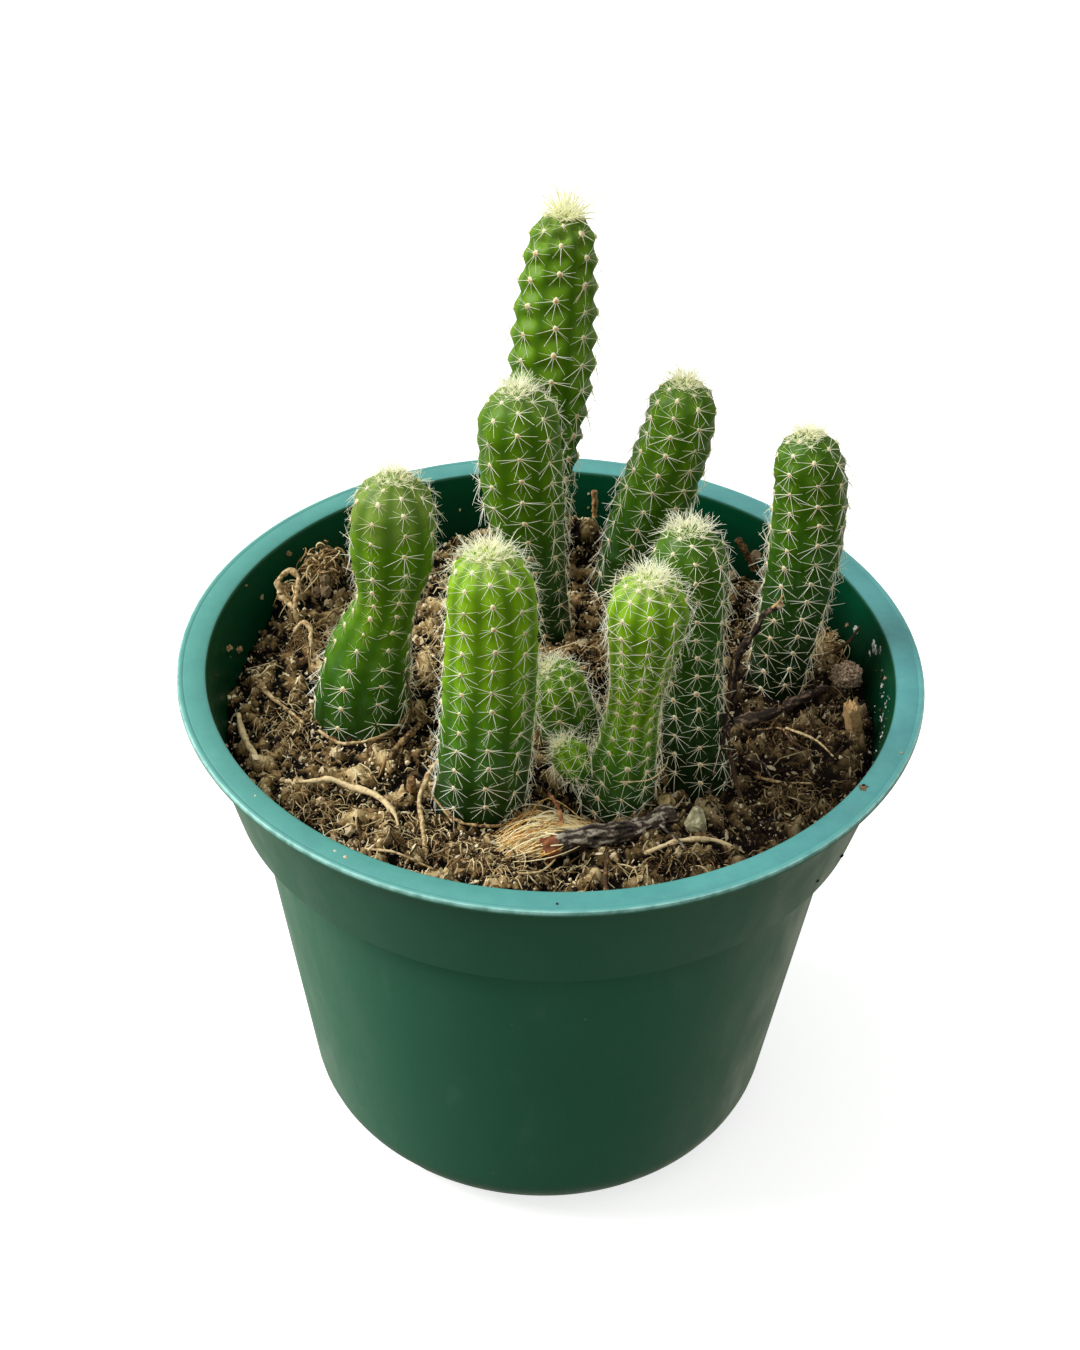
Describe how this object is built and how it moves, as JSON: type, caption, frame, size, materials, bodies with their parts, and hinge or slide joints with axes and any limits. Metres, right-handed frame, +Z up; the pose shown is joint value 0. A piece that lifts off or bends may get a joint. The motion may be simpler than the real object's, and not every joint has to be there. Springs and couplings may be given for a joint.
{
  "type": "potted peanut cactus",
  "caption": "Clump of finger-shaped ribbed cactus stems with short spines, standing in soil in a tapered plastic nursery pot with a flat rim and collar.",
  "frame": {"origin": "centre of the pot's base, on the surface it stands on", "axes": "+Z up along the pot's axis; -Y towards the viewer of the picture, +X to the viewer's right"},
  "size_m": [0.114, 0.114, 0.1447],
  "materials": {
    "pot_plastic": "satin",
    "potting_mix": "matte",
    "cactus_stem": "satin",
    "bark": "matte",
    "dry_wood": "matte",
    "straw": "matte",
    "dry_root": "matte",
    "pebble": "matte"
  },
  "bodies": {
    "root": {"pot": "pot_plastic", "soil": "potting_mix", "stem_back_tall": "cactus_stem", "stem_back_middle": "cactus_stem", "stem_left": "cactus_stem", "stem_front_left": "cactus_stem", "stem_short": "cactus_stem", "stem_front_right": "cactus_stem", "stem_middle_right": "cactus_stem", "stem_back_right": "cactus_stem", "stem_right": "cactus_stem", "bark_stick": "bark", "twig_upright": "bark", "twig_right": "bark", "bark_lump": "bark", "wood_chip": "dry_wood", "straw_tuft": "straw", "root_arched": "dry_root", "root_wall": "dry_root", "root_front": "dry_root", "pebble_round": "pebble", "pebble_angular": "pebble"}
  },
  "joints": []
}
